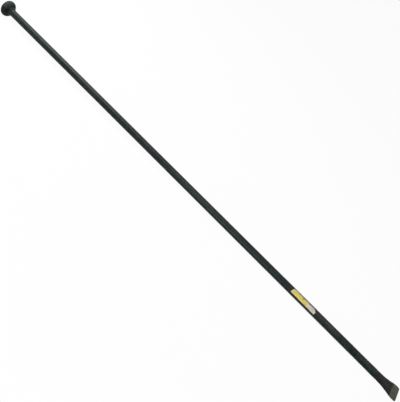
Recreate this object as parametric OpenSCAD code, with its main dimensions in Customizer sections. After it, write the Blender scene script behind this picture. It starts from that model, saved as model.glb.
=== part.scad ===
// Digging bar: a round steel bar with a tamper head at one end and a chisel blade at the other.
// The bar lies along X, from the tamping face at -X to the cutting edge at +X.
// Z = 0 is the lowest point of the head, and +Z is square to the blade's flat faces.

/* [Bar] */
// Length from the tamping face to the cutting edge
overall_len = 1829; // [1200:1:2200]
// Diameter of the round bar
bar_d = 25.4; // [24:0.1:28]

/* [Tamper head] */
// Diameter of the head
head_d = 59; // [58:0.5:90]
// Height of the head's side, with its rounded edges
head_rim = 17.5; // [17.5:0.5:30]
// Radius of the edge round the tamping face
face_edge_r = 6.5; // [1:0.5:7]
// Radius of the edge round the underside
under_edge_r = 10.5; // [1:0.5:10.5]
// Length along the bar from the side to the corner of the hollow underside
under_slope_len = 0.5; // [0:0.5:10]
// Height over the bar of that corner, which the hollow underside is drawn towards
hub_root_step = 2.6; // [2.5:0.1:4]
// Length along the bar from that corner to the hub's end
hub_len = 12; // [9:0.5:25]
// Height over the bar of the hub's end
hub_end_step = 2; // [1.5:0.1:2.5]

/* [Chisel blade] */
// Length of the blade's round shank
shank_len = 66; // [50:1:120]
// Length over which the blade tapers in thickness
taper_len = 96; // [80:1:180]
// Length of the ground bevel, up to the cutting edge
bevel_len = 24; // [20:0.5:40]
// Length of the straight sides behind the cutting edge
parallel_len = 18; // [10:0.5:30]
// Length over which the sides flare out
flare_len = 67; // [40:1:75]
// Curve of the flare, 1 for straight sides and 2 for a parabola
flare_curve = 1.8; // [1:0.1:3]
// Softness of the shoulder where the flare meets the straight sides
shoulder_ease = 0.2; // [0.05:0.05:0.5]
// Width across the straight sides
blade_w = 57; // [40:0.5:90]
// Thickness where the bevel starts
blade_t = 7.5; // [6:0.1:12]
// Thickness of the cutting edge
edge_t = 1.8; // [1:0.1:3]
// Radius of the two corners of the cutting edge, seen from above
corner_r = 4; // [2:0.5:9]
// Squareness of the blade's section at the bevel, 2 for an ellipse
section_square = 6.5; // [3:0.5:10]
// Share of an S-curve in the thickness taper, 0 for a straight wedge
taper_ease = 0.8; // [0:0.05:1]

/* [Joints] */
// Diameter of the turned spigot at each end of the bar
spigot_d = 18; // [14:0.1:18.5]
// Length of the spigot in the head
head_spigot_len = 18; // [12:0.5:20]
// Length of the spigot in the blade
blade_spigot_len = 40; // [25:0.5:46]
// Clearance round each spigot in its socket
socket_gap = 0.05; // [0.02:0.01:0.2]
// Room left at the end of each spigot
socket_end_gap = 1; // [0.5:0.1:2]
// Length along the bar of the fillet weld at the head
head_weld_len = 5; // [3:0.1:9]
// Hollow of the fillet weld's face
head_weld_hollow = 0.4; // [0:0.05:0.45]
// Width of the groove weld at the blade
seam_w = 8; // [5:0.1:12]
// Height of the plain land between the socket and the groove's root
seam_land = 0.65; // [0.3:0.05:1]
// Height of the groove weld's crown over the bar
seam_crown = 0.4; // [0.2:0.05:1]

/* [Label] */
// Distance from the cutting edge to the near end of the label
label_from_edge = 327; // [260:1:500]
// Length of the white field
panel_len = 29; // [15:0.5:60]
// Length of the yellow field
label_len = 66; // [30:0.5:120]
// Width of the label, measured round the bar
label_w = 17; // [12:0.5:60]
// Angle round the bar from the blade's upper side to the middle of the label
label_turn = 36; // [0:1:180]
// Thickness of the label's film
label_t = 0.2; // [0.1:0.05:0.4]
// Thickness of the adhesive between the film and the bar
adhesive_t = 0.04; // [0.02:0.01:0.1]

/* [Hidden] */
$fn = 96;

// Points on each rounded edge of the head and on the weld's face
edge_steps = 12;
// Points round the blade's section
blade_sides = 48;
// Sections along the taper and flare, and round the corners of the cutting edge
flare_steps = 26;
corner_steps = 6;
// How far cutting shapes run past what they cut, and joined shapes run into each other
overcut = 2;
// Step down from the shank to the first forged section
forge_step = 0.05;

bar_r = bar_d / 2;
head_r = head_d / 2;
axis_z = head_r;
face_x = -overall_len / 2;
edge_x = overall_len / 2;

hub_root_x = head_rim + under_slope_len;
head_len = hub_root_x + hub_len;
hub_root_r = bar_r + hub_root_step;
hub_end_r = bar_r + hub_end_step;

forge_r = bar_r - forge_step;
blade_len = shank_len + taper_len + bevel_len;
flare_start = blade_len - parallel_len - flare_len;
bevel_slope = (blade_t - edge_t) / 2 / bevel_len;

spigot_r = spigot_d / 2;
socket_r = spigot_r + socket_gap;
seam_root_r = socket_r + seam_land;
shaft_len = overall_len - head_len - blade_len;
seam_x = edge_x - blade_len;

label_wrap = label_w / bar_r * 180 / PI;
panel_x = edge_x - label_from_edge - panel_len;
label_x = panel_x - label_len;

head_paint = [0.17, 0.20, 0.19];
shaft_paint = [0.16, 0.20, 0.19];
blade_paint = [0.17, 0.17, 0.19];
weld_paint = [0.18, 0.20, 0.20];
label_yellow = [0.82, 0.72, 0.32];
label_white = [0.80, 0.77, 0.73];

// A value held between 0 and 1
function unit(v) = min(1, max(0, v));

// The lesser of a value and 1, with a soft corner between them
function soft_limit(v, ease) =
    let (h = unit(0.5 + 0.5 * (1 - v) / ease))
    1 - h + v * h - ease * h * (1 - h);

// A curve from a to c that is drawn towards b, without its first point
function hollow(a, b, c) =
    [for (i = [1 : edge_steps])
        let (k = i / edge_steps)
        a * (1 - k) * (1 - k) + b * 2 * k * (1 - k) + c * k * k];

// Part of a circle, as points [radius, station], from one angle to another
function arc(mid_r, mid_x, r, from, to) =
    [for (i = [0 : edge_steps])
        let (a = from + (to - from) * i / edge_steps)
        [mid_r + r * cos(a), mid_x + r * sin(a)]];

// Turns a profile of [radius, station] points about the bar's axis, with station 0 at x
module turned(x, angle = 360, start = 0) {
    translate([x, 0, axis_z])
        rotate([0, 90, 0])
            rotate([0, 0, start])
                rotate_extrude(angle = angle)
                    children();
}

// A plain round length on the bar's axis, from x
module round_length(x, r, len) {
    translate([x, 0, axis_z])
        rotate([0, 90, 0])
            cylinder(r = r, h = len);
}

// The weld's V-groove, centred on the seam and open past the bar's surface
module seam_groove() {
    turned(seam_x)
        polygon([
            [seam_root_r, 0],
            [bar_r, seam_w / 2],
            [bar_r + overcut, seam_w / 2],
            [bar_r + overcut, -seam_w / 2],
            [bar_r, -seam_w / 2]
        ]);
}

// Round bar with a turned spigot at each end, bevelled for the weld at the blade end
module shaft() {
    color(shaft_paint) {
        difference() {
            round_length(face_x + head_len, bar_r, shaft_len);
            seam_groove();
        }
        round_length(face_x + head_len - head_spigot_len, spigot_r, head_spigot_len);
        round_length(seam_x, spigot_r, blade_spigot_len);
    }
}

// Disc with rounded edges and a hollow underside that runs down to a hub, with a blind socket
module tamper_head() {
    color(head_paint)
        difference() {
            turned(face_x)
                polygon(concat(
                    [[0, 0]],
                    arc(head_r - face_edge_r, face_edge_r, face_edge_r, -90, 0),
                    arc(head_r - under_edge_r, head_rim - under_edge_r, under_edge_r, 0, 90),
                    hollow(
                        [head_r - under_edge_r, head_rim],
                        [hub_root_r, hub_root_x],
                        [hub_end_r, head_len]
                    ),
                    [[0, head_len]]
                ));
            round_length(
                face_x + head_len - head_spigot_len - socket_end_gap,
                socket_r,
                head_spigot_len + socket_end_gap + overcut
            );
        }
}

// Hollow-faced fillet bead in the corner between the hub's end and the bar
module head_weld() {
    face = [for (i = [0 : edge_steps])
        let (k = i / edge_steps)
        [
            hub_end_r - hub_end_step * k - head_weld_hollow * sin(180 * k),
            head_weld_len * k - head_weld_hollow * sin(180 * k) * hub_end_step / head_weld_len
        ]];
    color(weld_paint)
        turned(face_x + head_len)
            polygon(concat([[bar_r, 0]], face));
}

// Half-width of the blade at a distance from the seam
function blade_half_w(d) =
    let (
        opening = pow(max(0, (d - flare_start) / flare_len), flare_curve),
        flare = forge_r + (blade_w / 2 - forge_r) * soft_limit(opening, shoulder_ease),
        past = max(0, d - (blade_len - corner_r))
    )
    flare - corner_r + sqrt(max(0, corner_r * corner_r - past * past));

// Share of the taper that is done at a distance from the seam
function taper_share(d) =
    let (v = unit((d - shank_len) / taper_len))
    taper_ease * v * v * (3 - 2 * v) + (1 - taper_ease) * v;

// Half-thickness of the forging, before its bevel is ground
function blade_half_t(d) = forge_r + (blade_t / 2 - forge_r) * taper_share(d);

// One coordinate of a rounded section, from a cosine or a sine
function rounded(c, power) = sign(c) * pow(abs(c), 2 / power);

// One section of the blade, from a circle at the shank to a flat at the bevel
function blade_section(d) =
    let (power = 2 + (section_square - 2) * taper_share(d))
    [for (i = [0 : blade_sides - 1])
        let (a = 360 * i / blade_sides)
        [d, blade_half_w(d) * rounded(cos(a), power), blade_half_t(d) * rounded(sin(a), power)]];

// Distances from the seam of all sections
function blade_stations() = concat(
    [shank_len - overcut],
    [for (i = [0 : flare_steps]) shank_len + (blade_len - parallel_len - shank_len) * i / flare_steps],
    [blade_len - corner_r],
    [for (i = [1 : corner_steps]) blade_len - corner_r * (1 - sin(90 * i / corner_steps))]
);

// The forged flare: a skin over all sections, closed at both ends
module blade_forging() {
    stations = blade_stations();
    rings = len(stations);
    points = [for (d = stations) each blade_section(d)];
    skin = [for (j = [0 : rings - 2])
        for (i = [0 : blade_sides - 1])
            let (
                k = (i + 1) % blade_sides,
                a = j * blade_sides + i,
                b = j * blade_sides + k,
                c = a + blade_sides,
                d = b + blade_sides
            )
            each [[a, c, b], [b, c, d]]];
    back = [for (i = [0 : blade_sides - 1]) i];
    front = [for (i = [blade_sides - 1 : -1 : 0]) (rings - 1) * blade_sides + i];
    polyhedron(points, concat([back], skin, [front]));
}

// What the grinder takes off the blade's upper face
module bevel_cut() {
    reach = 2 * bevel_len;
    rotate([90, 0, 0])
        linear_extrude(height = blade_w + bar_d, center = true)
            polygon([
                [blade_len - reach, edge_t / 2 + bevel_slope * reach],
                [blade_len + overcut, edge_t / 2 - bevel_slope * overcut],
                [blade_len + overcut, bar_d],
                [blade_len - reach, bar_d]
            ]);
}

// Forged flare with a round shank, a socket, and a bevel ground on both faces
module chisel_blade() {
    color(blade_paint)
        difference() {
            union() {
                round_length(seam_x, bar_r, shank_len);
                translate([seam_x, 0, axis_z])
                    difference() {
                        blade_forging();
                        bevel_cut();
                        mirror([0, 0, 1])
                            bevel_cut();
                    }
            }
            round_length(seam_x - overcut, socket_r, blade_spigot_len + socket_end_gap + overcut);
            seam_groove();
        }
}

// Weld bead that fills the groove at the seam, with a low crown
module blade_weld() {
    crown = [for (i = [0 : edge_steps])
        let (k = i / edge_steps)
        [bar_r + seam_crown * sin(180 * k), seam_w * (0.5 - k)]];
    color(weld_paint)
        turned(seam_x)
            polygon(concat([[seam_root_r, 0]], crown));
}

// A film wrapped round part of the bar, from x
module film(x, len) {
    turned(x, label_wrap, 180 + label_turn - label_wrap / 2)
        translate([bar_r + adhesive_t, 0])
            square([label_t, len]);
}

// Yellow field of the label
module label() {
    color(label_yellow)
        film(label_x, label_len);
}

// White field of the label, butted against the yellow one
module label_panel() {
    color(label_white)
        film(panel_x, panel_len);
}

shaft();
tamper_head();
head_weld();
chisel_blade();
blade_weld();
label();
label_panel();
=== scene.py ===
import math

import bmesh
import bpy
from bpy.props import FloatProperty, FloatVectorProperty, PointerProperty
from mathutils import Matrix, Quaternion, Vector, noise


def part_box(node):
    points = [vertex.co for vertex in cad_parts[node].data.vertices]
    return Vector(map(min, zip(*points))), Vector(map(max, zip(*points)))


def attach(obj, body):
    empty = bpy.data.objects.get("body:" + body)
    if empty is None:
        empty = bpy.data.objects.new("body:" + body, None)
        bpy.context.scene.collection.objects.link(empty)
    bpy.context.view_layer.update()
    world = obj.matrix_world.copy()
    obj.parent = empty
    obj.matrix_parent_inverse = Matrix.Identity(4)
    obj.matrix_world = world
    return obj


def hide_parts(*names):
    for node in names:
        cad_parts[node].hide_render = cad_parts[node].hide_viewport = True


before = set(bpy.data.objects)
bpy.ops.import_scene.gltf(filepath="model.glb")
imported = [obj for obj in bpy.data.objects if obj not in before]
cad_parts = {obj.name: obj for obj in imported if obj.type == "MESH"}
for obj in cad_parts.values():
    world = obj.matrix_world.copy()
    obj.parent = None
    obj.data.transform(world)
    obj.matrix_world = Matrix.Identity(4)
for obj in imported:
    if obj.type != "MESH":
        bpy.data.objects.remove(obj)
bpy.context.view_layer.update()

bl_info = {
    "name": "Digging Bar",
    "version": (1, 0, 0),
    "blender": (4, 5, 0),
    "location": "View3D > Sidebar > Digging Bar",
    "description": "Models a painted steel digging bar piece by piece and sets its studio stage",
    "category": "Object",
}

# Stations along the bar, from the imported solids
HEAD_LOW, HEAD_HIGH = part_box("tamper_head")
SHAFT_LOW, SHAFT_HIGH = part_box("shaft")
HEAD_BEAD_LOW, HEAD_BEAD_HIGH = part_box("head_weld")
SEAM_LOW, SEAM_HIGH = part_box("blade_weld")
BLADE_LOW, BLADE_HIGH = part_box("chisel_blade")
LABEL_LOW, LABEL_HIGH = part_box("label")
PANEL_LOW, PANEL_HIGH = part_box("label_panel")
AXIS_Z = (HEAD_LOW.z + HEAD_HIGH.z) / 2
SEAM_X = (SEAM_LOW.x + SEAM_HIGH.x) / 2
BLADE_LENGTH = BLADE_HIGH.x - SEAM_X

# How near two points count as one, and two radii as equal
MERGE = 1e-7
NEAR = 2e-5

# How finely the pieces are divided, round the bar and along it
BAR_SIDES, BAR_RINGS = 96, 260
HEAD_SIDES, HOLLOW_STEPS, FACE_EDGE_STEPS, UNDER_EDGE_STEPS = 128, 16, 12, 14
BEAD_SIDES, BEAD_STEPS = 288, 9
SEAM_SIDES, SEAM_STEPS = 240, 10
BLADE_SIDES, SHANK_RINGS, FORGING_RINGS, CORNER_RINGS = 112, 16, 84, 14
YELLOW_CELLS, WHITE_CELLS, FILM_STRIPS, FILM_CORNER_STEPS = 22, 9, 32, 6
FACE_RINGS = (0.28, 0.54)

# Unevenness of each skin: its height and its grain
ROLLED_SKIN = (0.00008, 0.030)
HEAD_SKIN = (0.00016, 0.011)
BLADE_SKIN = (0.00022, 0.014)

# Distances over which the unevenness fades out: at the bar's ends, at the head's socket, past the blade's shank
# and at the cutting edge
BAR_FADE, SOCKET_FADE, FORGE_FADE, EDGE_FADE = 0.01, 0.004, 0.03, 0.004

# Ripples of the two welds: height, number round the bar, bend, sway, number of sways, lift, and distance over
# which they rise from the bar
BEAD_RIPPLES = (0.00022, 34, 2.6, 0.7, 3, 0.3, 0.0004)
SEAM_RIPPLES = (0.00007, 30, 2.2, 0.9, 2, 0.0, 0.0002)

# Patches of painted sheen, paler paint that stands in for highlights on the upper side of the bar and the
# shank: station of the middle, half-length and amount
SHEEN_PATCHES = ((0.06, 0.13, 0.15), (0.635, 0.055, 0.26), (0.791, 0.042, 0.24))

# Arcs that get the painted sheen, in degrees from the top: middle, half-width and fade
SHEEN_ARC = (-20, 56, 28)
HEAD_SHEEN_ARC = (-12, 66, 38)

# Painted sheen on the head, a lit band on its upper side and a paler tamping face: least amount, share left at
# the hub, depth of the face, radius of the hub that keeps only that share and so stays darker as painted shade,
# fade
HEAD_SHEEN, HUB_SHEEN, FACE_DEPTH, HUB_CLEAR, SHEEN_FADE = 0.22, 0.08, 0.004, 0.0155, 0.005

# Where the bar's paint runs over into the blade's: distance past the shank, and half the border's width
PAINT_BORDER, BORDER_HALF = 0.036, 0.016

# Softboxes: place, point aimed at and extent; each one's power is the stage's property of the same name
SOFTBOXES = {
    "key": ((-1.72, 0.10, 1.78), (-0.45, 0.0, 0.03), (2.0, 1.15)),
    "front": ((0.08, -1.85, 0.36), (0.26, 0.0, 0.03), (0.7, 0.45)),
    "middle": ((-0.40, -0.55, 2.5), (0.08, 0.0, 0.03), (0.7, 0.7)),
    "blade": ((1.10, -0.50, 2.5), (0.65, 0.0, 0.03), (0.9, 0.9)),
}


# Property helpers

def length(name, description, default):
    """A length property, in metres."""
    return FloatProperty(name=name, description=description, default=default, unit="LENGTH", precision=5)


def share(name, description, default):
    """A property between 0 and 1."""
    return FloatProperty(
        name=name, description=description, default=default, min=0.0, max=1.0, subtype="FACTOR"
    )


def tint(name, description, default):
    """A linear colour property."""
    return FloatVectorProperty(
        name=name, description=description, default=default, size=3, min=0.0, max=1.0, subtype="COLOR"
    )


def turned(name, description, degrees):
    """An angle property, given in degrees."""
    return FloatProperty(name=name, description=description, default=math.radians(degrees), subtype="ANGLE")


def point(name, description, default):
    """A property for a point in space."""
    return FloatVectorProperty(
        name=name, description=description, default=default,
        size=3, unit="LENGTH", subtype="TRANSLATION", precision=4,
    )


def watts(name, description, default):
    """A property for a lamp's power."""
    return FloatProperty(name=name, description=description, default=default, unit="POWER")


class DiggingBarSizes(bpy.types.PropertyGroup):
    """Sizes of the bar, its head, its blade and its label."""

    bar_r: length("Bar radius", "Radius of the round bar", 0.0127)
    spigot_r: length("Spigot radius", "Radius of the turned spigot at each end", 0.009)
    socket_gap: length("Socket clearance", "Clearance round each spigot", 0.00005)
    socket_end: length("Socket end room", "Room left past each spigot", 0.001)
    head_r: length("Head radius", "Radius of the tamper head", (HEAD_HIGH.z - HEAD_LOW.z) / 2)
    rim: length("Head side", "Height of the head's side with its rounded edges", 0.0175)
    face_round: length("Face edge", "Radius of the edge round the tamping face", 0.0065)
    under_round: length("Underside edge", "Radius of the edge round the underside", 0.0105)
    under_slope: length("Underside slope", "Length from the side to the corner of the underside", 0.0005)
    hub_root_r: length("Hub root", "Radius of the corner that the underside is drawn towards", 0.0153)
    hub_end_r: length("Hub end", "Radius of the hub's end", 0.0147)
    bead_hollow: length("Bead hollow", "Hollow of the fillet weld's face", 0.0004)
    seam_root_r: length("Seam root", "Radius of the groove weld's root", 0.0097)
    seam_crown: length("Seam crown", "Height of the groove weld over the bar", 0.0004)
    shank: length("Shank", "Length of the blade's round shank", 0.066)
    taper: length("Taper", "Length over which the blade thins", 0.096)
    flare: length("Flare", "Length over which the sides open out", 0.067)
    parallel: length("Straight sides", "Length of the straight sides", 0.018)
    bevel: length("Ground bevel", "Length of the ground bevel", 0.024)
    blade_w: length("Blade width", "Width across the straight sides", BLADE_HIGH.y - BLADE_LOW.y)
    blade_t: length("Blade thickness", "Thickness where the bevel starts", 0.0075)
    edge_t: length("Edge thickness", "Thickness of the cutting edge", 0.0018)
    corner_r: length("Corner radius", "Radius of the cutting edge's corners", 0.004)
    forge_step: length("Forging step", "Step from the shank down to the forging", 0.00005)
    flare_curve: FloatProperty(name="Flare curve", description="Power of the flare's curve", default=1.8)
    square: FloatProperty(name="Squareness", description="Power of the section at the bevel", default=6.5)
    shoulder: share("Shoulder ease", "Softness of the flare's shoulder", 0.2)
    ease: share("Taper ease", "Share of an S-curve in the taper", 0.8)
    film_w: length("Label width", "Width of the label round the bar", 0.017)
    film_turn: turned("Label turn", "Angle from the blade's upper side to the middle of the label", 36.0)
    film_skew: turned("Label skew", "How far the label was stuck out of line with the bar", 0.7)
    film_t: length("Film thickness", "Thickness of the label film", 0.0002)
    film_gap: length("Adhesive", "Thickness of the adhesive under the film", 0.00004)
    film_corner: length("Film corner", "Radius of the label's outer corners", 0.0015)
    film_cut: length("Film cut", "Size of the yellow film's clipped upper corner", 0.0064)
    panel_cut: length("Panel cut", "Size of the white film's clipped upper corner", 0.0092)


class DiggingBarFinish(bpy.types.PropertyGroup):
    """Colours and gloss of the paint, the ground steel and the label."""

    paint: tint("Bar paint", "Green-black satin paint of the bar and shank", (0.0053, 0.0130, 0.0119))
    drift: tint("Plainer bar paint", "Black that the bar's paint drifts towards", (0.0087, 0.0098, 0.0110))
    blade_paint: tint("Blade paint", "Plainer black on the forged ends", (0.0088, 0.0082, 0.0105))
    weld_paint: tint("Weld paint", "Paint over the weld beads", (0.0115, 0.0165, 0.0152))
    scuff: tint("Scuffs", "Rubbed paint and primer", (0.060, 0.064, 0.060))
    # Paler paint for painted sheen: highlights on the bar's upper side and the lit band on the head
    sheen_tone: tint("Rubbed paint", "Paler paint for painted sheen", (0.064, 0.082, 0.066))
    bare: tint("Bare steel", "Steel that shows at worn edges", (0.12, 0.125, 0.115))
    ground: tint("Ground steel", "Ground bevel under clear lacquer", (0.073, 0.076, 0.049))
    ground_dark: tint("Burnt steel", "Darker streaks on the bevel", (0.034, 0.035, 0.025))
    yellow: tint("Label yellow", "Yellow ground of the label", (0.59, 0.475, 0.100))
    cream: tint("Label cream", "Paler bands of the label", (0.585, 0.53, 0.265))
    light: tint("Label light stripe", "Light stripe along the label's lower side", (0.71, 0.61, 0.145))
    # Painted shade along the upper side of the yellow film
    beige: tint("Label dull stripe", "Dull stripe along the label's upper side", (0.56, 0.45, 0.180))
    olive: tint("Label dark block", "Plain dark block of the label", (0.10, 0.088, 0.030))
    white: tint("Label white", "White ground of the label's short field", (0.53, 0.489, 0.435))
    # Also painted shade along the upper side of the white film
    grey: tint("Label grey", "Faint grey blocks on the white field", (0.44, 0.39, 0.37))
    # Real handling marks in the film's smears, and painted shade in the bands along the films' edges
    grime_and_shade: tint("Grime", "Handling marks on the label and painted shade along its edges", (0.20, 0.18, 0.14))
    paint_rough: share("Paint roughness", "Roughness of the satin paint", 0.38)
    steel_rough: share("Steel roughness", "Roughness of the ground bevel", 0.46)
    film_rough: share("Film roughness", "Roughness of the label film", 0.42)


class DiggingBarStage(bpy.types.PropertyGroup):
    """Camera, lamps and floor."""

    eye: point("Camera", "Place of the camera", (0.3833, -1.2162, AXIS_Z + 0.9714))
    aim: point("Aim", "Point that the camera looks at", (0.0920, -0.0066, AXIS_Z))
    roll: turned("Roll", "Turn of the camera about its line of sight", 36.447)
    lens: FloatProperty(name="Lens", description="Focal length in millimetres", default=44.05, unit="CAMERA")
    key: watts("Key lamp", "Power of the key softbox", 52.0)
    front: watts("Front lamp", "Power of the low softbox by the camera", 15.0)
    middle: watts("Middle lamp", "Power of the softbox over the bar", 16.0)
    blade: watts("Blade lamp", "Power of the softbox over the blade", 10.0)
    sky: FloatProperty(name="Sky", description="Strength of the room light", default=0.15, min=0.0)
    floor: tint("Floor", "Colour of the floor", (0.72, 0.72, 0.72))
    clear: share("Clear floor", "Share of plain white in what the camera sees of the floor", 0.95)


# Mesh helpers

def unit(v):
    """A value held between 0 and 1."""
    return min(1.0, max(0.0, v))


def turn_profile(bm, profile, steps, closed=False):
    """Turns (station, radius) points once round the bar's axis."""
    verts = [bm.verts.new((x, 0.0, AXIS_Z + r)) for x, r in profile]
    edges = [bm.edges.new(pair) for pair in zip(verts, verts[1:])]
    if closed:
        edges.append(bm.edges.new((verts[-1], verts[0])))
    bmesh.ops.spin(
        bm, geom=verts + edges, cent=(0, 0, AXIS_Z), axis=(1, 0, 0),
        angle=2 * math.pi, steps=steps, use_merge=True,
    )
    bmesh.ops.remove_doubles(bm, verts=bm.verts[:], dist=MERGE)
    bmesh.ops.recalc_face_normals(bm, faces=bm.faces[:])


def hollow(first, toward, last, count):
    """Points of a curve from first to last that is drawn towards a corner."""
    points = []
    for i in range(count + 1):
        k = i / count
        points.append(tuple(
            a * (1 - k) ** 2 + 2 * b * k * (1 - k) + c * k * k for a, b, c in zip(first, toward, last)
        ))
    return points


def radius(co):
    """Distance of a point from the bar's axis."""
    return math.hypot(co.y, co.z - AXIS_Z)


def angle(co):
    """Angle of a point round the bar's axis, from the top."""
    return math.atan2(co.y, co.z - AXIS_Z)


def within(co, arc):
    """How far inside an arc round the bar a point is, from 0 to 1."""
    middle, half, fade = arc
    return unit((half - abs(math.degrees(angle(co)) - middle)) / fade)


def ring(bm, x, r):
    """Edges of the circle at a station and a radius."""
    on = {v for v in bm.verts if abs(v.co.x - x) < NEAR and abs(radius(v.co) - r) < NEAR}
    return [e for e in bm.edges if e.verts[0] in on and e.verts[1] in on]


def round_edges(bm, edges, size, segments):
    """Rounds edges to a radius."""
    if not edges:
        raise RuntimeError("no edges to round")
    bmesh.ops.bevel(
        bm, geom=edges, offset=size, offset_type="OFFSET", affect="EDGES",
        segments=segments, profile=0.5, material=-1, clamp_overlap=True,
    )


def raise_skin(bm, height):
    """Moves each point out along its normal by a height that depends on its place."""
    bm.normal_update()
    moves = [(v, v.normal * height(v.co)) for v in bm.verts]
    for vert, move in moves:
        vert.co += move


def roughen(bm, skin, reach):
    """Gives the skin an uneven height where reach says how much, from 0 to 1."""
    height, grain = skin
    raise_skin(bm, lambda co: height * reach(co) * noise.fractal(co / grain, 1.0, 2.0, 3))


def mark_wear(bm, start, full):
    """Keeps how sharply each point stands out, for wear along the edges."""
    layer = bm.verts.layers.float.new("wear")
    sharp = {}
    for v in bm.verts:
        bends = [e.calc_face_angle_signed(0.0) for e in v.link_edges if len(e.link_faces) == 2]
        sharp[v] = sum(max(0.0, bend) for bend in bends)
    for v in bm.verts:
        around = [sharp[e.other_vert(v)] for e in v.link_edges]
        value = (sharp[v] + sum(around) / max(1, len(around))) / 2
        v[layer] = min(1.0, max(0.0, (value - start) / (full - start)))


def mark_sheen(bm, amount):
    """Keeps how much painted sheen, paler paint that stands in for highlights, each point gets, from 0 to 1."""
    layer = bm.verts.layers.float.new("rub")
    for v in bm.verts:
        v[layer] = amount(v.co)


def upper_sheen(co):
    """How much painted sheen, standing in for highlights, the upper side of the bar and the shank gets, from 0
    to 1.
    """
    patches = (amount * unit((reach - abs(co.x - mid)) / reach * 2) for mid, reach, amount in SHEEN_PATCHES)
    return within(co, SHEEN_ARC) * max(patches)


def finish_piece(bm, name, materials, node, crease=35.0):
    """Makes a bmesh the piece that stands for a node, and rides it on the bar."""
    limit = math.radians(crease)
    for face in bm.faces:
        face.smooth = True
    for edge in bm.edges:
        edge.smooth = len(edge.link_faces) == 2 and edge.calc_face_angle(0.0) < limit
    mesh = bpy.data.meshes.new(name)
    bm.to_mesh(mesh)
    bm.free()
    for material in materials:
        mesh.materials.append(material)
    piece = bpy.data.objects.new(name, mesh)
    bpy.context.scene.collection.objects.link(piece)
    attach(piece, "root")
    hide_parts(node)


# Shader helpers

def add(tree, kind, inputs=None, **settings):
    """Adds a shader node, with its settings, its input values and its links."""
    made = tree.nodes.new(kind)
    for key, value in settings.items():
        setattr(made, key, value)
    for key, value in (inputs or {}).items():
        if isinstance(value, bpy.types.NodeSocket):
            tree.links.new(value, made.inputs[key])
        else:
            made.inputs[key].default_value = value
    return made


def calc(tree, operation, a, b=0.0, clamp=False):
    """One step of arithmetic."""
    return add(tree, "ShaderNodeMath", {0: a, 1: b}, operation=operation, use_clamp=clamp).outputs[0]


def plus(tree, a, b):
    """A sum."""
    return calc(tree, "ADD", a, b)


def times(tree, a, b, clamp=False):
    """A product."""
    return calc(tree, "MULTIPLY", a, b, clamp)


def span(tree, value, low, high, to_low=0.0, to_high=1.0):
    """Spreads a part of a value's range over another range, with soft ends."""
    inputs = {"Value": value, "From Min": low, "From Max": high, "To Min": to_low, "To Max": to_high}
    return add(tree, "ShaderNodeMapRange", inputs, interpolation_type="SMOOTHSTEP").outputs["Result"]


def mix(tree, amount, first, second):
    """Mixes two colours."""
    made = add(tree, "ShaderNodeMix", {0: amount, 6: first, 7: second}, data_type="RGBA")
    return made.outputs[2]


def cloud(tree, coords, scale, detail=3.0, rough=0.55):
    """Plain noise on given coordinates."""
    inputs = {"Vector": coords, "Scale": scale, "Detail": detail, "Roughness": rough}
    return add(tree, "ShaderNodeTexNoise", inputs).outputs[0]


def stretch(tree, coords, scale):
    """Coordinates stretched along the axes."""
    return add(tree, "ShaderNodeMapping", {"Vector": coords, "Scale": scale}).outputs[0]


def on_object(tree):
    """The piece's own coordinates, in metres."""
    return add(tree, "ShaderNodeTexCoord").outputs["Object"]


def rgba(color):
    """A property's colour with full alpha."""
    return (*color, 1.0)


def new_group(name, inputs, outputs):
    """An empty shader group with named sockets, and its two end nodes."""
    tree = bpy.data.node_groups.new(name, "ShaderNodeTree")
    for label, kind, value in inputs:
        socket = tree.interface.new_socket(label, in_out="INPUT", socket_type=kind)
        socket.default_value = value
    for label, kind in outputs:
        tree.interface.new_socket(label, in_out="OUTPUT", socket_type=kind)
    return tree, add(tree, "NodeGroupInput").outputs, add(tree, "NodeGroupOutput")


def put_out(tree, end, **values):
    """Links values to a group's outputs."""
    for label, value in values.items():
        tree.links.new(value, end.inputs[label])


def use(tree, group, **inputs):
    """Places a group in a material, with its own values."""
    return add(tree, "ShaderNodeGroup", inputs, node_tree=group).outputs


FLOAT = "NodeSocketFloat"
COLOR = "NodeSocketColor"
GREY = (0.5, 0.5, 0.5, 1.0)


def paint_film_group():
    """Satin paint: cloudy tone, drag marks along the bar and an orange-peel skin."""
    tree, given, end = new_group(
        "Paint film",
        (("Color", COLOR, GREY), ("Mottle", FLOAT, 0.3), ("Gloss", FLOAT, 0.45)),
        (("Color", COLOR), ("Roughness", FLOAT), ("Height", FLOAT)),
    )
    coords = on_object(tree)
    patches = cloud(tree, coords, 34.0, 5.0, 0.62)
    drags = cloud(tree, stretch(tree, coords, (10.0, 95.0, 95.0)), 1.0, 4.0, 0.6)
    peel = cloud(tree, coords, 620.0, 2.0, 0.5)
    speckle = cloud(tree, coords, 105.0, 1.0, 0.5)
    broad = plus(tree, times(tree, patches, 0.35), times(tree, drags, 0.25))
    tone = plus(tree, broad, times(tree, speckle, 0.40))
    swing = times(tree, calc(tree, "SUBTRACT", tone, 0.5), given["Mottle"])
    value = plus(tree, 1.0, times(tree, swing, 4.0))
    color = add(tree, "ShaderNodeHueSaturation", {"Value": value, "Color": given["Color"]}).outputs[0]
    uneven = calc(tree, "SUBTRACT", plus(tree, drags, speckle), 1.0)
    rough = plus(tree, given["Gloss"], times(tree, uneven, 0.3))
    skin = plus(tree, times(tree, peel, 0.45), times(tree, patches, 0.55))
    height = plus(tree, skin, times(tree, speckle, 0.60))
    put_out(tree, end, Color=color, Roughness=rough, Height=height)
    return tree


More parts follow.
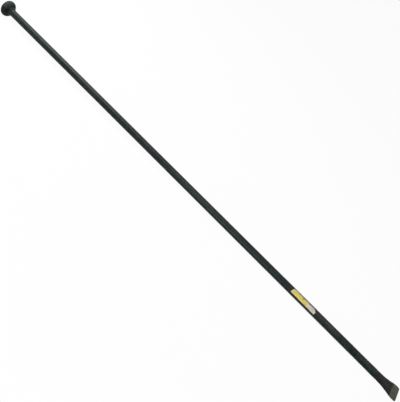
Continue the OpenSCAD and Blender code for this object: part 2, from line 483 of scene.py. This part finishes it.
def scuff_group():
    """Rub marks: short scratches in patches, with a few chips."""
    tree, given, end = new_group("Scuffs", (("Amount", FLOAT, 0.5),), (("Mask", FLOAT),))
    coords = on_object(tree)
    along = cloud(tree, stretch(tree, coords, (22.0, 520.0, 520.0)), 1.0, 3.0, 0.6)
    across = cloud(tree, stretch(tree, coords, (640.0, 40.0, 40.0)), 1.0, 2.0, 0.5)
    where = span(tree, cloud(tree, coords, 11.0, 3.0), 0.50, 0.66)
    lines = calc(tree, "MAXIMUM", span(tree, along, 0.62, 0.72), span(tree, across, 0.68, 0.76))
    chips = span(tree, cloud(tree, coords, 260.0, 3.0, 0.6), 0.70, 0.75)
    marks = calc(tree, "MAXIMUM", times(tree, lines, where), times(tree, chips, 0.7))
    put_out(tree, end, Mask=times(tree, marks, given["Amount"], True))
    return tree


def edge_wear_group():
    """Where handling has broken the paint on edges that stand out."""
    tree, given, end = new_group("Edge wear", (("Amount", FLOAT, 0.5),), (("Mask", FLOAT),))
    coords = on_object(tree)
    sharp = add(tree, "ShaderNodeAttribute", attribute_name="wear").outputs["Fac"]
    broken = plus(tree, cloud(tree, coords, 140.0, 6.0, 0.68), times(tree, sharp, 0.22))
    mask = times(tree, span(tree, broken, 0.70, 0.80), sharp)
    put_out(tree, end, Mask=times(tree, mask, given["Amount"], True))
    return tree


def painted_sheen_group():
    """Paint that goes pale in patches where the piece is marked for painted sheen, which stands in for
    highlights.
    """
    tree, given, end = new_group(
        "Rubbed paint", (("Color", COLOR, GREY), ("Pale", COLOR, GREY)), (("Color", COLOR),)
    )
    coords = on_object(tree)
    marked = add(tree, "ShaderNodeAttribute", attribute_name="rub").outputs["Fac"]
    patches = span(tree, cloud(tree, coords, 130.0, 4.0, 0.62), 0.30, 0.62, 0.35, 1.0)
    amount = times(tree, marked, patches)
    put_out(tree, end, Color=mix(tree, amount, given["Color"], given["Pale"]))
    return tree


def forge_skin_group():
    """Hammer dents and scale pits of a forged face under paint."""
    tree, given, end = new_group("Forge skin", (("Size", FLOAT, 150.0),), (("Height", FLOAT),))
    coords = on_object(tree)
    dents = add(
        tree, "ShaderNodeTexVoronoi", {"Vector": coords, "Scale": given["Size"], "Smoothness": 0.8},
        feature="SMOOTH_F1",
    ).outputs["Distance"]
    pits = span(tree, cloud(tree, coords, 380.0, 4.0, 0.6), 0.60, 0.72)
    put_out(tree, end, Height=calc(tree, "SUBTRACT", dents, times(tree, pits, 0.5)))
    return tree


def grind_group():
    """Fine lines that a grinding disc leaves along the bar, with broader bands."""
    tree, given, end = new_group(
        "Grind lines", (("Pitch", FLOAT, 900.0),), (("Tone", FLOAT), ("Height", FLOAT))
    )
    coords = on_object(tree)
    thin = add(tree, "ShaderNodeCombineXYZ", {0: 45.0, 1: given["Pitch"], 2: 120.0}).outputs[0]
    lines = cloud(tree, stretch(tree, coords, thin), 1.0, 3.0, 0.65)
    bands = cloud(tree, stretch(tree, coords, (50.0, 80.0, 60.0)), 1.0, 3.0, 0.6)
    tone = plus(tree, times(tree, lines, 0.45), times(tree, bands, 0.55))
    put_out(tree, end, Tone=span(tree, tone, 0.34, 0.66), Height=lines)
    return tree


def film_skin_group():
    """Printed film: uneven ink, handling dirt from the edges and faint wrinkles."""
    tree, given, end = new_group(
        "Film skin",
        (("Color", COLOR, GREY), ("Grime", COLOR, GREY), ("Gloss", FLOAT, 0.4)),
        (("Color", COLOR), ("Roughness", FLOAT), ("Height", FLOAT)),
    )
    coords = on_object(tree)
    flat = add(tree, "ShaderNodeUVMap", uv_map="Film").outputs[0]
    parts = add(tree, "ShaderNodeSeparateXYZ", {0: flat}).outputs
    side = times(tree, calc(tree, "ABSOLUTE", calc(tree, "SUBTRACT", parts[1], 0.5)), 2.0)
    ink = cloud(tree, coords, 160.0, 4.0, 0.6)
    smears = cloud(tree, stretch(tree, coords, (60.0, 240.0, 240.0)), 1.0, 4.0, 0.6)
    dirt = times(tree, span(tree, smears, 0.52, 0.78), span(tree, side, 0.35, 1.0, 0.22, 0.6))
    value = span(tree, ink, 0.3, 0.7, 0.90, 1.08)
    inked = add(tree, "ShaderNodeHueSaturation", {"Value": value, "Color": given["Color"]}).outputs[0]
    wrinkles = cloud(tree, stretch(tree, coords, (70.0, 210.0, 210.0)), 1.0, 2.0, 0.4)
    rough = plus(tree, given["Gloss"], times(tree, smears, 0.18))
    put_out(tree, end, Color=mix(tree, dirt, inked, given["Grime"]), Roughness=rough, Height=wrinkles)
    return tree


GROUPS = {}


def group(name):
    """A shader group, made the first time that it is asked for."""
    makers = {
        "paint film": paint_film_group,
        "scuffs": scuff_group,
        "edge wear": edge_wear_group,
        "painted sheen": painted_sheen_group,
        "forge skin": forge_skin_group,
        "grind lines": grind_group,
        "film skin": film_skin_group,
    }
    if name not in GROUPS:
        GROUPS[name] = makers[name]()
    return GROUPS[name]


def new_material(name, **constants):
    """A material with its shader, whose plain values are set on the shader's own sockets."""
    material = bpy.data.materials.new(name)
    material.use_nodes = True
    tree = material.node_tree
    shader = tree.nodes["Principled BSDF"]
    for label, value in constants.items():
        shader.inputs[label.replace("_", " ")].default_value = value
    return material, tree, shader


def dress(tree, shader, color, rough, height, strength, depth, metal=None):
    """Links a finish to its shader."""
    tree.links.new(color, shader.inputs["Base Color"])
    tree.links.new(rough, shader.inputs["Roughness"])
    if metal is not None:
        tree.links.new(metal, shader.inputs["Metallic"])
    bump = add(tree, "ShaderNodeBump", {"Strength": strength, "Distance": depth, "Height": height})
    tree.links.new(bump.outputs[0], shader.inputs["Normal"])


def runs_over(tree, first, second, start, stop):
    """One paint running over into another along the bar, with an uneven border."""
    coords = on_object(tree)
    along = add(tree, "ShaderNodeSeparateXYZ", {0: coords}).outputs[0]
    wander = times(tree, calc(tree, "SUBTRACT", cloud(tree, coords, 70.0, 3.0), 0.5), stop - start)
    amount = span(tree, plus(tree, along, wander), start, stop)
    return mix(tree, amount, rgba(first), rgba(second))


def drifts(tree, first, second):
    """Paint whose tone drifts towards another in long patches."""
    coords = on_object(tree)
    patches = cloud(tree, stretch(tree, coords, (13.0, 30.0, 30.0)), 1.0, 2.0, 0.5)
    return mix(tree, span(tree, patches, 0.46, 0.58, 0.0, 0.85), rgba(first), rgba(second))


def painted(
    name, color, finish, mottle, scuffs, shine, wear=0.0, dents=0.0, onward=None, drift=None, pale=False
):
    """Paint over steel, with scuffs, pale patches of painted sheen, worn edges and, on forged pieces, dents
    under it.
    """
    material, tree, shader = new_material(name, Specular_IOR_Level=shine)
    ground = rgba(color)
    if onward:
        ground = runs_over(tree, color, *onward)
    elif drift:
        ground = drifts(tree, color, drift)
    film = use(tree, group("paint film"), Color=ground, Mottle=mottle, Gloss=finish.paint_rough)
    rubbed = use(tree, group("scuffs"), Amount=scuffs)["Mask"]
    tone = film["Color"]
    # The pale patches are painted sheen, standing in for highlights
    if pale:
        tone = use(tree, group("painted sheen"), Color=tone, Pale=rgba(finish.sheen_tone))["Color"]
    tone = mix(tree, rubbed, tone, rgba(finish.scuff))
    metal = None
    if wear:
        bare = use(tree, group("edge wear"), Amount=wear)["Mask"]
        tone = mix(tree, bare, tone, rgba(finish.bare))
        metal = times(tree, bare, 0.8)
    height = film["Height"]
    if dents:
        skin = use(tree, group("forge skin"), Size=dents)
        height = plus(tree, times(tree, height, 0.5), skin["Height"])
    rough = plus(tree, film["Roughness"], times(tree, rubbed, 0.15))
    dress(tree, shader, tone, rough, height, strength=0.35, depth=0.0005, metal=metal)
    return material


def ground_steel(finish):
    """Bare ground steel with disc lines and a thin clear coat."""
    material, tree, shader = new_material("ground_bevel", Metallic=0.75, Specular_IOR_Level=0.30)
    marks = use(tree, group("grind lines"), Pitch=1100.0)
    tone = mix(tree, marks["Tone"], rgba(finish.ground_dark), rgba(finish.ground))
    rough = span(tree, marks["Tone"], 0.0, 1.0, finish.steel_rough + 0.1, finish.steel_rough - 0.06)
    dress(tree, shader, tone, rough, marks["Height"], strength=0.3, depth=0.0002)
    return material


def block(tree, parts, low, high, soft):
    """A plain soft-edged block on the film's own flat map."""
    masks = []
    for axis in (0, 1):
        masks.append(span(tree, parts[axis], low[axis] - soft, low[axis] + soft))
        masks.append(span(tree, parts[axis], high[axis] - soft, high[axis] + soft, 1.0, 0.0))
    mask = masks[0]
    for other in masks[1:]:
        mask = times(tree, mask, other)
    return mask


def printed_film(name, ground, blocks, finish):
    """Printed adhesive film with plain blocks, each by colour, two corners, softness and strength; some blocks
    paint shade along the film's edges instead of print.
    """
    material, tree, shader = new_material(name, Specular_IOR_Level=0.35)
    flat = add(tree, "ShaderNodeUVMap", uv_map="Film").outputs[0]
    parts = add(tree, "ShaderNodeSeparateXYZ", {0: flat}).outputs
    tone = rgba(ground)
    for color, low, high, soft, amount in blocks:
        mask = times(tree, block(tree, parts, low, high, soft), amount)
        tone = mix(tree, mask, tone, rgba(color))
    skin = use(tree, group("film skin"), Color=tone, Grime=rgba(finish.grime_and_shade), Gloss=finish.film_rough)
    dress(tree, shader, skin["Color"], skin["Roughness"], skin["Height"], strength=0.25, depth=0.0003)
    return material


# The blade's form, by distance from the seam

def soft_limit(v, ease):
    """The lesser of a value and 1, with a soft corner between them."""
    h = unit(0.5 + 0.5 * (1 - v) / ease)
    return 1 - h + v * h - ease * h * (1 - h)


def taper_share(size, d):
    """Share of the thinning that is done."""
    v = unit((d - size.shank) / size.taper)
    return size.ease * v * v * (3 - 2 * v) + (1 - size.ease) * v


def half_width(size, d):
    """Half the blade's width."""
    forge_r = size.bar_r - size.forge_step
    start = BLADE_LENGTH - size.parallel - size.flare
    opening = max(0.0, (d - start) / size.flare) ** size.flare_curve
    flare = forge_r + (size.blade_w / 2 - forge_r) * soft_limit(opening, size.shoulder)
    past = max(0.0, d - (BLADE_LENGTH - size.corner_r))
    return flare - size.corner_r + math.sqrt(max(0.0, size.corner_r ** 2 - past ** 2))


def half_thickness(size, d):
    """Half the forging's thickness, before it is ground."""
    forge_r = size.bar_r - size.forge_step
    return forge_r + (size.blade_t / 2 - forge_r) * taper_share(size, d)


def section_point(size, d, a):
    """A point of the section at an angle: a circle at the shank, a rounded flat at the bevel."""
    power = 2 + (size.square - 2) * taper_share(size, d)
    c, s = math.cos(a), math.sin(a)
    reach = (abs(c) ** power + abs(s) ** power) ** (-1 / power)
    groove = unit(d / (SEAM_HIGH.x - SEAM_X))
    shrink = (size.seam_root_r + (size.bar_r - size.seam_root_r) * groove) / size.bar_r
    y = half_width(size, d) * reach * c * shrink
    z = half_thickness(size, d) * reach * s * shrink
    return Vector((SEAM_X + d, y, AXIS_Z + z))


def spread(start, stop, count):
    """Even steps from start up to, but without, stop."""
    return [start + (stop - start) * i / count for i in range(count)]


def blade_stations(size):
    """Distances from the seam of the forging's rings, closer together at the corners."""
    corner = BLADE_LENGTH - size.corner_r
    stations = [0.0] + spread(SEAM_HIGH.x - SEAM_X, size.shank, SHANK_RINGS)
    stations += spread(size.shank, corner, FORGING_RINGS)
    for i in range(CORNER_RINGS + 1):
        stations.append(corner + size.corner_r * math.sin(math.radians(90) * i / CORNER_RINGS))
    return stations


# Operators

def chosen(context):
    """The sizes and the finishes that are set in the scene."""
    return context.scene.digging_bar_sizes, context.scene.digging_bar_finish


class DIGGING_BAR_OT_shaft(bpy.types.Operator):
    """Turn the round bar with its two spigots"""

    bl_idname = "digging_bar.shaft"
    bl_label = "Shaft"

    def execute(self, context):
        size, finish = chosen(context)
        bm = bmesh.new()
        turn_profile(bm, (
            (SHAFT_LOW.x, 0.0),
            (SHAFT_LOW.x, size.spigot_r),
            (HEAD_HIGH.x, size.spigot_r),
            (HEAD_HIGH.x, size.bar_r),
            (SEAM_LOW.x, size.bar_r),
            (SEAM_X, size.seam_root_r),
            (SEAM_X, size.spigot_r),
            (SHAFT_HIGH.x, size.spigot_r),
            (SHAFT_HIGH.x, 0.0),
        ), BAR_SIDES)
        whole = SEAM_LOW.x - HEAD_HIGH.x
        runs = [e for e in bm.edges if e.calc_length() > whole / 2]
        bmesh.ops.subdivide_edges(bm, edges=runs, cuts=BAR_RINGS, use_grid_fill=True)

        def on_bar(co):
            ends = min(co.x - HEAD_BEAD_HIGH.x, SEAM_LOW.x - co.x)
            return unit(ends / BAR_FADE) if radius(co) > size.bar_r - NEAR else 0.0

        roughen(bm, ROLLED_SKIN, on_bar)
        # Painted sheen: paler patches on the bar's upper side where highlights fall
        mark_sheen(bm, upper_sheen)
        paint = painted(
            "bar_paint", finish.paint, finish, mottle=1.4, scuffs=0.55, shine=0.14,
            drift=finish.drift, pale=True,
        )
        finish_piece(bm, "round_bar", [paint], "shaft")
        return {"FINISHED"}


class DIGGING_BAR_OT_head(bpy.types.Operator):
    """Turn the tamper head and round its edges"""

    bl_idname = "digging_bar.head"
    bl_label = "Tamper head"

    def execute(self, context):
        size, finish = chosen(context)
        face, end = HEAD_LOW.x, HEAD_HIGH.x
        under, root = face + size.rim, face + size.rim + size.under_slope
        socket_r, bottom = size.spigot_r + size.socket_gap, SHAFT_LOW.x - size.socket_end
        inner = size.head_r - size.under_round
        bm = bmesh.new()
        turn_profile(bm, (
            (face, 0.0),
            *((face, size.head_r * k) for k in FACE_RINGS),
            (face, size.head_r),
            (under, size.head_r),
            *hollow((under, inner), (root, size.hub_root_r), (end, size.hub_end_r), HOLLOW_STEPS),
            (end, socket_r),
            (bottom, socket_r),
            (bottom, 0.0),
        ), HEAD_SIDES)
        round_edges(bm, ring(bm, face, size.head_r), size.face_round, FACE_EDGE_STEPS)
        # A little under the full radius, so that a narrow flat is left before the hollow
        round_edges(bm, ring(bm, under, size.head_r), size.under_round * 0.98, UNDER_EDGE_STEPS)

        def outside(co):
            return unit((radius(co) - socket_r) / SOCKET_FADE) if co.x > under else 1.0

        # rubbed: painted sheen, a lit band on the head's upper side and a paler face, kept off the hub so it
        # stays darker
        def rubbed(co):
            side, clear = 0.0, 1.0
            if co.x > face + FACE_DEPTH:
                side = within(co, HEAD_SHEEN_ARC) * unit((co.x - face - FACE_DEPTH) / SHEEN_FADE)
                clear = max(HUB_SHEEN, unit((radius(co) - HUB_CLEAR) / SHEEN_FADE))
            return max(HEAD_SHEEN, side) * clear

        roughen(bm, HEAD_SKIN, outside)
        mark_wear(bm, start=0.10, full=0.42)
        mark_sheen(bm, rubbed)
        paint = painted(
            "head_paint", finish.blade_paint, finish,
            mottle=1.0, scuffs=0.3, shine=0.03, wear=0.25, dents=130.0, pale=True,
        )
        finish_piece(bm, "head_forging", [paint], "tamper_head")
        return {"FINISHED"}


class DIGGING_BAR_OT_welds(bpy.types.Operator):
    """Lay the fillet bead at the head and the dressed seam at the blade"""

    bl_idname = "digging_bar.welds"
    bl_label = "Welds"

    def execute(self, context):
        size, finish = chosen(context)
        paint = painted(
            "weld_paint", finish.weld_paint, finish, mottle=0.4, scuffs=0.35, shine=0.09, wear=0.35, dents=320.0
        )
        self.fillet(size, paint)
        self.seam(size, paint)
        return {"FINISHED"}

    def fillet(self, size, paint):
        """The rippled fillet round the hub's end."""
        start, run = HEAD_BEAD_LOW.x, HEAD_BEAD_HIGH.x - HEAD_BEAD_LOW.x
        step = size.hub_end_r - size.bar_r
        profile = [(start, size.bar_r)]
        for i in range(BEAD_STEPS + 1):
            k = i / BEAD_STEPS
            sink = size.bead_hollow * math.sin(math.pi * k)
            profile.append((start + run * k - sink * step / run, size.hub_end_r - step * k - sink))
        bm = bmesh.new()
        turn_profile(bm, profile, BEAD_SIDES, closed=True)
        self.ripple(bm, size, start, run, BEAD_RIPPLES)
        mark_wear(bm, start=0.3, full=1.2)
        finish_piece(bm, "head_bead", [paint], "head_weld", crease=50.0)

    def seam(self, size, paint):
        """The groove weld, dressed nearly flush."""
        half = SEAM_HIGH.x - SEAM_X
        profile = [(SEAM_X, size.seam_root_r)]
        for i in range(SEAM_STEPS + 1):
            k = i / SEAM_STEPS
            rise = size.seam_crown * math.sin(math.pi * k)
            profile.append((SEAM_X + half * (1 - 2 * k), size.bar_r + rise))
        bm = bmesh.new()
        turn_profile(bm, profile, SEAM_SIDES, closed=True)
        self.ripple(bm, size, SEAM_LOW.x, 2 * half, SEAM_RIPPLES)
        mark_wear(bm, start=0.3, full=1.2)
        finish_piece(bm, "blade_seam", [paint], "blade_weld", crease=50.0)

    def ripple(self, bm, size, start, run, ripples):
        """Raises a weld's skin in the crescents that its pool leaves."""
        height, count, bend, sway, sways, lift, root = ripples

        def crescents(co):
            a = angle(co)
            arch = math.sin(math.pi * unit((co.x - start) / run))
            wave = math.sin(count * a + bend * arch + sway * math.sin(sways * a))
            over = unit((radius(co) - size.bar_r) / root)
            return height * (lift + (1 - lift) * wave) * arch * over

        raise_skin(bm, crescents)


class DIGGING_BAR_OT_blade(bpy.types.Operator):
    """Forge the chisel blade from a round, grind its bevels and bore its socket"""

    bl_idname = "digging_bar.blade"
    bl_label = "Chisel blade"

    def execute(self, context):
        size, finish = chosen(context)
        bm = bmesh.new()
        self.forge(bm, size)
        self.bore(bm, size)
        self.grind(bm, size)
        mark_wear(bm, start=0.16, full=0.6)
        # Painted sheen: a paler patch on the shank's upper side where highlights fall
        mark_sheen(bm, upper_sheen)
        border = SEAM_X + size.shank + PAINT_BORDER
        paint = painted(
            "blade_paint", finish.paint, finish, mottle=1.1, scuffs=0.5, shine=0.10, wear=0.15, dents=105.0,
            onward=(finish.blade_paint, border - BORDER_HALF, border + BORDER_HALF), pale=True,
        )
        finish_piece(
            bm, "blade_forging", [paint, ground_steel(finish)], "chisel_blade", crease=28.0
        )
        return {"FINISHED"}

    def forge(self, bm, size):
        """A round drawn out to the flare, ring by ring."""
        stations = blade_stations(size)
        last = len(stations) - 1
        turn = Matrix.Rotation(math.radians(90), 4, "Y")
        bmesh.ops.create_cone(
            bm, cap_ends=True, segments=BLADE_SIDES, radius1=1.0, radius2=1.0, depth=last, matrix=turn
        )
        runs = [e for e in bm.edges if e.calc_length() > last / 2]
        bmesh.ops.subdivide_edges(bm, edges=runs, cuts=last - 1, use_grid_fill=True)
        for v in bm.verts:
            d = stations[round(v.co.x + last / 2)]
            v.co = section_point(size, d, math.atan2(v.co.z, v.co.y))
        bmesh.ops.recalc_face_normals(bm, faces=bm.faces[:])

        def forged(co):
            d = co.x - SEAM_X
            return unit((d - size.shank) / FORGE_FADE) * unit((BLADE_HIGH.x - co.x) / EDGE_FADE)

        roughen(bm, BLADE_SKIN, forged)

    def bore(self, bm, size):
        """The blind socket for the bar's spigot."""
        back = [f for f in bm.faces if all(abs(v.co.x - SEAM_X) < NEAR for v in f.verts)]
        if len(back) != 1:
            raise RuntimeError("the blade has no back face to bore")
        wall = size.seam_root_r - size.spigot_r - size.socket_gap
        bmesh.ops.inset_region(bm, faces=back, thickness=wall, use_even_offset=True)
        depth = SHAFT_HIGH.x - SEAM_X + size.socket_end
        made = bmesh.ops.extrude_face_region(bm, geom=back)
        moved = [g for g in made["geom"] if isinstance(g, bmesh.types.BMVert)]
        bmesh.ops.delete(bm, geom=back, context="FACES_ONLY")
        bmesh.ops.translate(bm, vec=(depth, 0, 0), verts=moved)
        bmesh.ops.recalc_face_normals(bm, faces=bm.faces[:])

    def grind(self, bm, size):
        """The bevel on both faces, and the sides dressed back with it."""
        slope = (size.blade_t - size.edge_t) / 2 / size.bevel
        for side in (1, -1):
            cut = bmesh.ops.bisect_plane(
                bm, geom=bm.verts[:] + bm.edges[:] + bm.faces[:], dist=MERGE,
                plane_co=(BLADE_HIGH.x, 0, AXIS_Z + side * size.edge_t / 2),
                plane_no=Vector((slope, 0, side)).normalized(), clear_outer=True,
            )
            rim = [g for g in cut["geom_cut"] if isinstance(g, bmesh.types.BMEdge)]
            bmesh.ops.contextual_create(bm, geom=rim)
        bmesh.ops.dissolve_degenerate(bm, dist=1e-6, edges=bm.edges[:])
        bmesh.ops.recalc_face_normals(bm, faces=bm.faces[:])
        # The two ground faces have many corners; the sides beside them are ground steel too
        back = BLADE_HIGH.x - size.bevel * 0.96
        for face in bm.faces:
            bevel = len(face.verts) > 20 and slope / 2 < face.normal.x < 0.5
            if bevel or face.calc_center_median().x > back:
                face.material_index = 1


class DIGGING_BAR_OT_label(bpy.types.Operator):
    """Cut the two label films, wrap them over the bar and give them their thickness"""

    bl_idname = "digging_bar.label"
    bl_label = "Label"

    def execute(self, context):
        size, finish = chosen(context)
        yellow = printed_film("film_yellow", finish.yellow, (
            (finish.light, (0.10, 0.05), (0.74, 0.26), 0.008, 1.0),
            # Painted shade: the dull stripe and the darker band above it dim the film's upper side
            (finish.beige, (-0.1, 0.68), (1.1, 1.2), 0.010, 1.0),
            (finish.grime_and_shade, (-0.1, 0.90), (1.1, 1.2), 0.05, 0.35),
            # Painted shadow under the film's lower edge
            (finish.grime_and_shade, (-0.1, -0.2), (1.1, 0.04), 0.04, 0.5),
            (finish.cream, (-0.1, -0.1), (0.08, 1.1), 0.006, 0.7),
            (finish.olive, (0.35, 0.70), (0.42, 0.95), 0.008, 0.30),
            (finish.olive, (0.60, 0.62), (0.71, 0.95), 0.008, 0.65),
            (finish.cream, (0.90, -0.1), (1.1, 0.80), 0.006, 0.8),
            (finish.olive, (0.93, 0.70), (1.1, 1.0), 0.008, 0.45),
        ), finish)
        white = printed_film("film_white", finish.white, (
            (finish.grey, (0.22, 0.46), (0.80, 0.70), 0.010, 0.4),
            # Painted shade: the grey band and the darker band above it dim the film's upper side
            (finish.grey, (-0.1, 0.70), (1.1, 1.2), 0.010, 1.0),
            (finish.grime_and_shade, (-0.1, 0.84), (1.1, 1.2), 0.05, 0.8),
            # Painted shadow under the film's lower edge
            (finish.grime_and_shade, (-0.1, -0.2), (1.1, 0.04), 0.04, 0.5),
            (finish.olive, (-0.1, 0.70), (0.12, 1.0), 0.008, 0.45),
        ), finish)
        bm = self.cut(size, LABEL_HIGH.x - LABEL_LOW.x, YELLOW_CELLS, -1, size.film_cut)
        self.wrap(bm, size, (LABEL_LOW.x + LABEL_HIGH.x) / 2)
        finish_piece(bm, "yellow_film", [yellow], "label")
        bm = self.cut(size, PANEL_HIGH.x - PANEL_LOW.x, WHITE_CELLS, 1, size.panel_cut)
        self.wrap(bm, size, (PANEL_LOW.x + PANEL_HIGH.x) / 2)
        finish_piece(bm, "white_film", [white], "label_panel")
        return {"FINISHED"}

    def cut(self, size, run, cells, end, clip):
        """One flat film with its corners rounded at its outer end, the upper one clipped first."""
        bm = bmesh.new()
        bmesh.ops.create_grid(bm, x_segments=1, y_segments=1, size=0.5)
        bmesh.ops.transform(bm, matrix=Matrix.Diagonal((run, size.film_w, 1, 1)), verts=bm.verts[:])
        rounding = {"affect": "VERTICES", "profile": 0.5, "material": -1}
        for side in (-1, 1):
            corner = [v for v in bm.verts if v.co.x * end > run * 0.49 and v.co.y * side > size.film_w * 0.49]
            if side > 0:
                corner = bmesh.ops.bevel(bm, geom=corner, offset=clip, segments=1, **rounding)["verts"]
            bmesh.ops.bevel(bm, geom=corner, offset=size.film_corner, segments=FILM_CORNER_STEPS, **rounding)
        for normal, count, width in (((1, 0, 0), cells, run), ((0, 1, 0), FILM_STRIPS, size.film_w)):
            for i in range(1, count):
                bmesh.ops.bisect_plane(
                    bm, geom=bm.verts[:] + bm.edges[:] + bm.faces[:], dist=MERGE,
                    plane_co=Vector(normal) * (width * (i / count - 0.5)), plane_no=normal,
                )
        flat = bm.loops.layers.uv.new("Film")
        for face in bm.faces:
            for loop in face.loops:
                loop[flat].uv = (loop.vert.co.x / run + 0.5, loop.vert.co.y / size.film_w + 0.5)
        return bm

    def wrap(self, bm, size, station):
        """Bends a flat film round the bar, a little out of line, and gives it its thickness."""
        outer_r = size.bar_r + size.film_gap + size.film_t
        middle = (LABEL_LOW.x + PANEL_HIGH.x) / 2
        for v in bm.verts:
            x = station + v.co.x
            a = (v.co.y - (x - middle) * math.tan(size.film_skew)) / size.bar_r - size.film_turn
            v.co = Vector((x, outer_r * math.sin(a), AXIS_Z + outer_r * math.cos(a)))
        bm.normal_update()
        bmesh.ops.solidify(bm, geom=bm.faces[:], thickness=size.film_t)
        bmesh.ops.recalc_face_normals(bm, faces=bm.faces[:])


class DIGGING_BAR_OT_stage(bpy.types.Operator):
    """Set the floor, the room, the lamps and the camera"""

    bl_idname = "digging_bar.stage"
    bl_label = "Stage"

    def execute(self, context):
        stage = context.scene.digging_bar_stage
        context.scene.view_settings.view_transform = "Standard"
        self.floor(context, stage)
        self.room(context, stage)
        for name, placing in SOFTBOXES.items():
            self.lamp(context, name + "_softbox", *placing, getattr(stage, name))
        self.camera(context, stage)
        return {"FINISHED"}

    def seen(self, tree):
        """1 for rays from the camera and for those that mirrors and glass show."""
        path = add(tree, "ShaderNodeLightPath").outputs
        direct = calc(tree, "MAXIMUM", path["Is Camera Ray"], path["Is Glossy Ray"])
        return calc(tree, "MAXIMUM", direct, path["Is Transmission Ray"])

    def floor(self, context, stage):
        """A pale floor that the head's rim and the end of the blade's shank rest on."""
        size = context.scene.digging_bar_sizes
        head_rest, shank_rest = HEAD_LOW.x + size.rim / 2, SEAM_X + size.shank
        head_gap, shank_gap, half = 0.0002, 0.0003, 14.0
        drop = AXIS_Z - size.bar_r - shank_gap - HEAD_LOW.z
        tilt = Matrix.Rotation(-math.atan2(drop, shank_rest - head_rest), 4, "Y")
        raised = Matrix.Translation((head_rest, 0, HEAD_LOW.z - head_gap))
        bm = bmesh.new()
        bmesh.ops.create_grid(bm, x_segments=8, y_segments=8, size=half)
        turn = raised @ tilt @ Matrix.Translation((-head_rest, 0, 0))
        bmesh.ops.transform(bm, matrix=turn, verts=bm.verts[:])
        mesh = bpy.data.meshes.new("floor")
        bm.to_mesh(mesh)
        bm.free()
        material = bpy.data.materials.new("pale_floor")
        material.use_nodes = True
        tree = material.node_tree
        tree.nodes.clear()
        matt = add(tree, "ShaderNodeBsdfDiffuse", {"Color": rgba(stage.floor)}).outputs[0]
        clear = add(tree, "ShaderNodeEmission", {"Color": (1, 1, 1, 1), "Strength": 1.0}).outputs[0]
        amount = times(tree, self.seen(tree), stage.clear)
        both = add(tree, "ShaderNodeMixShader", {0: amount, 1: matt, 2: clear}).outputs[0]
        add(tree, "ShaderNodeOutputMaterial", {"Surface": both})
        mesh.materials.append(material)
        plane = bpy.data.objects.new("floor", mesh)
        context.scene.collection.objects.link(plane)

    def room(self, context, stage):
        """White to the eye and in reflections, a softer grey as light."""
        world = bpy.data.worlds.new("white_room")
        context.scene.world = world
        world.use_nodes = True
        tree = world.node_tree
        tree.nodes.clear()
        strength = plus(tree, stage.sky, times(tree, self.seen(tree), 1.0 - stage.sky))
        back = add(tree, "ShaderNodeBackground", {"Color": (1, 1, 1, 1), "Strength": strength}).outputs[0]
        add(tree, "ShaderNodeOutputWorld", {"Surface": back})

    def lamp(self, context, name, place, aim, extent, power):
        """A soft rectangular lamp."""
        data = bpy.data.lights.new(name, "AREA")
        data.shape = "RECTANGLE"
        data.size, data.size_y = extent
        data.energy = power
        light = bpy.data.objects.new(name, data)
        light.location = place
        light.rotation_euler = (Vector(aim) - Vector(place)).to_track_quat("-Z", "Y").to_euler()
        context.scene.collection.objects.link(light)

    def camera(self, context, stage):
        """The camera at the photograph's place."""
        data = bpy.data.cameras.new("view")
        data.lens = stage.lens
        data.sensor_fit = "HORIZONTAL"
        data.sensor_width = 36.0
        data.clip_end = 100.0
        eye = bpy.data.objects.new("view", data)
        look = (Vector(stage.aim) - Vector(stage.eye)).to_track_quat("-Z", "Y")
        eye.location = stage.eye
        eye.rotation_euler = (look @ Quaternion((0, 0, 1), stage.roll)).to_euler()
        context.scene.collection.objects.link(eye)
        context.scene.camera = eye


class DIGGING_BAR_PT_panel(bpy.types.Panel):
    """The bar's sizes, finishes and pieces"""

    bl_idname = "DIGGING_BAR_PT_panel"
    bl_label = "Digging Bar"
    bl_space_type = "VIEW_3D"
    bl_region_type = "UI"
    bl_category = "Digging Bar"

    def draw(self, context):
        for operator in OPERATORS:
            self.layout.operator(operator.bl_idname)
        for holder in ("digging_bar_sizes", "digging_bar_finish", "digging_bar_stage"):
            values = getattr(context.scene, holder)
            box = self.layout.box()
            for name in values.__annotations__:
                box.prop(values, name)


OPERATORS = (
    DIGGING_BAR_OT_shaft,
    DIGGING_BAR_OT_head,
    DIGGING_BAR_OT_welds,
    DIGGING_BAR_OT_blade,
    DIGGING_BAR_OT_label,
    DIGGING_BAR_OT_stage,
)
HOLDERS = {
    "digging_bar_sizes": DiggingBarSizes,
    "digging_bar_finish": DiggingBarFinish,
    "digging_bar_stage": DiggingBarStage,
}


def register():
    """Registers the properties, the operators and the panel."""
    for name, holder in HOLDERS.items():
        bpy.utils.register_class(holder)
        setattr(bpy.types.Scene, name, PointerProperty(type=holder))
    for kind in (*OPERATORS, DIGGING_BAR_PT_panel):
        bpy.utils.register_class(kind)


def unregister():
    """Removes what register added."""
    for kind in (DIGGING_BAR_PT_panel, *reversed(OPERATORS)):
        bpy.utils.unregister_class(kind)
    for name, holder in HOLDERS.items():
        delattr(bpy.types.Scene, name)
        bpy.utils.unregister_class(holder)


def main():
    """Builds the whole bar on its stage."""
    register()
    bpy.ops.digging_bar.shaft()
    bpy.ops.digging_bar.head()
    bpy.ops.digging_bar.welds()
    bpy.ops.digging_bar.blade()
    bpy.ops.digging_bar.label()
    bpy.ops.digging_bar.stage()


if __name__ == "__main__":
    main()
